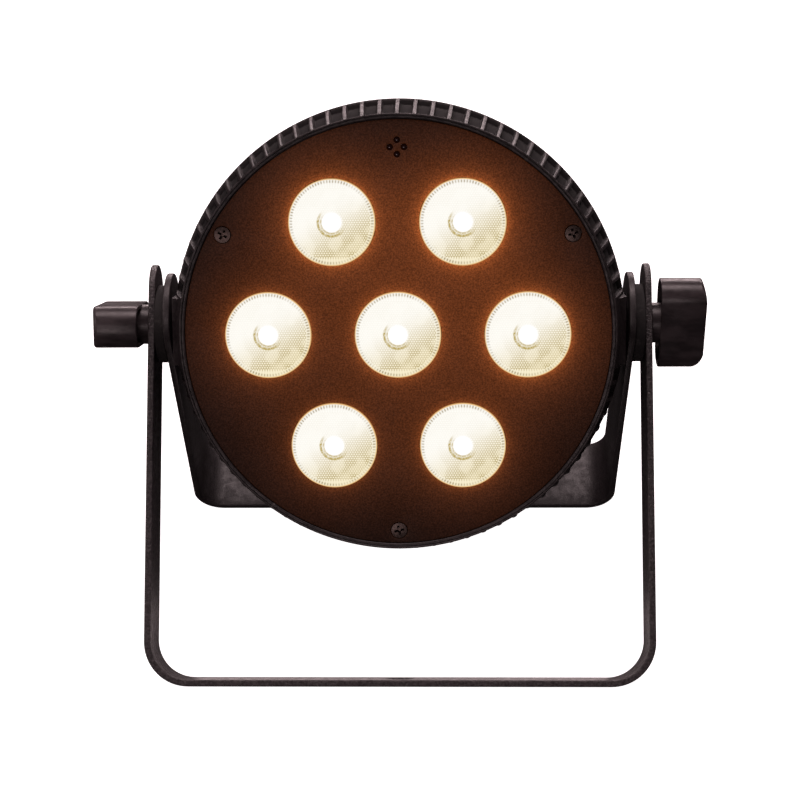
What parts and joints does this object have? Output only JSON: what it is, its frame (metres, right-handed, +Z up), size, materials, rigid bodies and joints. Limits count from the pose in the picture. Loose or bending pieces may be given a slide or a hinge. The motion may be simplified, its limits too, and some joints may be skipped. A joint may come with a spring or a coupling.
{
  "type": "par can light",
  "caption": "Slim round stage light with a ribbed black casing, a lens plate and two nested U brackets with side clamp knobs, standing tilted on its brackets.",
  "frame": {"origin": "bottom centre of the whole light, on the surface that both brackets stand on", "axes": "+Z up, +X along the pivot axis to the viewer's right when facing the lenses, -Y towards where the beam leaves"},
  "size_m": [0.2792, 0.2139, 0.2324],
  "materials": {
    "bracket_coat": "coarse black powder coat on steel",
    "housing_black": "black painted cast aluminium",
    "plate_black": "fine sand-textured black paint",
    "panel_black": "fine textured black plastic",
    "plastic_black": "moulded black plastic",
    "socket_black": "moulded black plastic",
    "knob_plastic": "satin moulded black plastic",
    "rubber_black": "matt black rubber",
    "screw_black": "black oxide steel",
    "zinc_steel": "bright zinc plate",
    "bare_aluminium": "bare extruded aluminium",
    "lens_clear": "clear beaded lens, lit warm white",
    "phosphor": "yellow phosphor",
    "board_white": "white solder mask",
    "board_green": "green solder mask",
    "window_smoked": "smoked clear plastic"
  },
  "bodies": {
    "yoke": {"outer_bracket": "bracket_coat", "friction_washer_left": "rubber_black", "friction_washer_right": "rubber_black"},
    "head": {"housing_ring": "housing_black", "rear_shell": "housing_black", "front_plate": "plate_black", "rear_panel": "panel_black", "lens_1": "lens_clear", "lens_holder_1": "plastic_black", "led_emitter_1": "phosphor", "lens_2": "lens_clear", "lens_holder_2": "plastic_black", "led_emitter_2": "phosphor", "lens_3": "lens_clear", "lens_holder_3": "plastic_black", "led_emitter_3": "phosphor", "lens_4": "lens_clear", "lens_holder_4": "plastic_black", "led_emitter_4": "phosphor", "lens_5": "lens_clear", "lens_holder_5": "plastic_black", "led_emitter_5": "phosphor", "lens_6": "lens_clear", "lens_holder_6": "plastic_black", "led_emitter_6": "phosphor", "lens_7": "lens_clear", "lens_holder_7": "plastic_black", "led_emitter_7": "phosphor", "plate_screw_1": "screw_black", "plate_screw_2": "screw_black", "plate_screw_3": "screw_black", "rear_screw_1": "screw_black", "rear_screw_2": "screw_black", "rear_screw_3": "screw_black", "rear_screw_4": "screw_black", "led_board": "board_white", "heat_sink": "bare_aluminium", "power_supply": "bare_aluminium", "control_board": "board_green", "sensor_module": "window_smoked", "display_window": "window_smoked", "power_inlet": "socket_black", "power_outlet": "socket_black", "dmx_input": "socket_black", "dmx_output": "socket_black", "safety_eye": "zinc_steel", "pivot_spacer_left": "plastic_black", "pivot_bolt_left": "zinc_steel", "pivot_spacer_right": "plastic_black", "pivot_bolt_right": "zinc_steel"},
    "stand": {"inner_bracket": "bracket_coat"},
    "knob_left": {"knob_left": "knob_plastic"},
    "knob_right": {"knob_right": "knob_plastic"},
    "button_1": {"menu_button_1": "rubber_black"},
    "button_2": {"menu_button_2": "rubber_black"},
    "button_3": {"menu_button_3": "rubber_black"},
    "button_4": {"menu_button_4": "rubber_black"}
  },
  "joints": [
    {"name": "head_tilt", "type": "hinge", "parent": "yoke", "child": "head", "pos_m": [0, 0.01653, 0.1282], "axis": [1, 0, 0], "range_deg": [-105, 60]},
    {"name": "stand_swing", "type": "hinge", "parent": "yoke", "child": "stand", "pos_m": [0, 0.01653, 0.1282], "axis": [1, 0, 0], "range_deg": [-59.4, 120.6]},
    {"name": "knob_left_turn", "type": "hinge", "parent": "head", "child": "knob_left", "pos_m": [-0.126, 0.01653, 0.1282], "axis": [1, 0, 0], "continuous": true},
    {"name": "knob_right_turn", "type": "hinge", "parent": "head", "child": "knob_right", "pos_m": [0.126, 0.01653, 0.1282], "axis": [1, 0, 0], "continuous": true},
    {"name": "button_1_press", "type": "slide", "parent": "head", "child": "button_1", "axis": [0, -0.8788, 0.4772], "range_m": [0, 0.0008], "stiffness_N_per_m": 600},
    {"name": "button_2_press", "type": "slide", "parent": "head", "child": "button_2", "axis": [0, -0.8788, 0.4772], "range_m": [0, 0.0008], "stiffness_N_per_m": 600},
    {"name": "button_3_press", "type": "slide", "parent": "head", "child": "button_3", "axis": [0, -0.8788, 0.4772], "range_m": [0, 0.0008], "stiffness_N_per_m": 600},
    {"name": "button_4_press", "type": "slide", "parent": "head", "child": "button_4", "axis": [0, -0.8788, 0.4772], "range_m": [0, 0.0008], "stiffness_N_per_m": 600}
  ]
}
